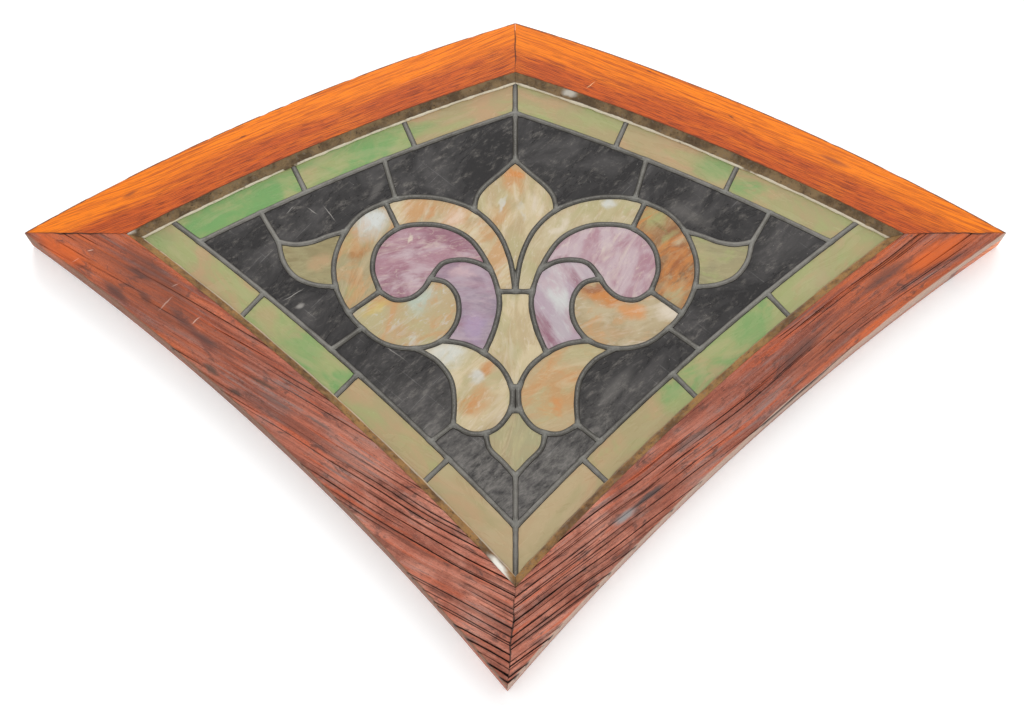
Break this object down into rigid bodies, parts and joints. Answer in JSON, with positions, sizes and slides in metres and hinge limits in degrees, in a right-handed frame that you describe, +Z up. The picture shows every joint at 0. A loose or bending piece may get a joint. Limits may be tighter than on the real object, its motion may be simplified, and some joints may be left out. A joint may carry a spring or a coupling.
{
  "type": "stained glass window",
  "caption": "Kite-shaped leaded stained glass window in a mitred wood frame, with a scrolled flower ornament in opalescent glass on black.",
  "frame": {"origin": "on the flat back of the wood frame, at the middle of the top corner", "axes": "+Z up, -Y out of the front, which is the puttied side, and X along the widest line"},
  "size_m": [1.0604, 0.035, 0.7449],
  "materials": {
    "varnished_wood": "orange varnish, glossy, worn at the edges",
    "weathered_wood": "weathered red-brown stain, matt, with open cracks along the grain",
    "putty": "old linseed putty, dirty brown and grey, with traces of cream paint",
    "lead": "dull grey lead with dark cement at its edges",
    "glass_border": "olive opalescent glass with green and peach clouds",
    "glass_black": "black opaque glass, hazed and scratched",
    "glass_purple": "mauve opalescent glass with white wisps",
    "glass_amber": "cream and amber opalescent glass",
    "glass_leaf": "olive and tan opalescent glass",
    "glass_cream": "cream opalescent glass with tan clouds"
  },
  "bodies": {
    "root": {"frame_upper_left": "varnished_wood", "frame_upper_right": "varnished_wood", "frame_lower_right": "weathered_wood", "frame_lower_left": "weathered_wood", "putty_upper_left": "putty", "putty_upper_right": "putty", "putty_lower_right": "putty", "putty_lower_left": "putty", "lead_cames": "lead", "glass_border_upper_1_left": "glass_border", "glass_border_upper_1_right": "glass_border", "glass_border_upper_2_left": "glass_border", "glass_border_upper_2_right": "glass_border", "glass_border_upper_3_left": "glass_border", "glass_border_upper_3_right": "glass_border", "glass_border_lower_1_left": "glass_border", "glass_border_lower_1_right": "glass_border", "glass_border_lower_2_left": "glass_border", "glass_border_lower_2_right": "glass_border", "glass_border_lower_3_left": "glass_border", "glass_border_lower_3_right": "glass_border", "glass_border_lower_4_left": "glass_border", "glass_border_lower_4_right": "glass_border", "glass_field_top_left": "glass_black", "glass_field_top_right": "glass_black", "glass_field_shoulder_left": "glass_black", "glass_field_shoulder_right": "glass_black", "glass_field_side_left": "glass_black", "glass_field_side_right": "glass_black", "glass_field_lower_left": "glass_black", "glass_field_lower_right": "glass_black", "glass_field_bottom_left": "glass_black", "glass_field_bottom_right": "glass_black", "glass_scroll_top_left": "glass_amber", "glass_scroll_top_right": "glass_amber", "glass_scroll_side_left": "glass_amber", "glass_scroll_side_right": "glass_amber", "glass_purple_comma_left": "glass_purple", "glass_purple_comma_right": "glass_purple", "glass_purple_crescent_left": "glass_purple", "glass_purple_crescent_right": "glass_purple", "glass_amber_drop_left": "glass_amber", "glass_amber_drop_right": "glass_amber", "glass_leaf_left": "glass_leaf", "glass_leaf_right": "glass_leaf", "glass_lobe_left": "glass_cream", "glass_lobe_right": "glass_cream", "glass_bud": "glass_cream", "glass_stem": "glass_cream", "glass_low_bud": "glass_cream"}
  },
  "joints": []
}
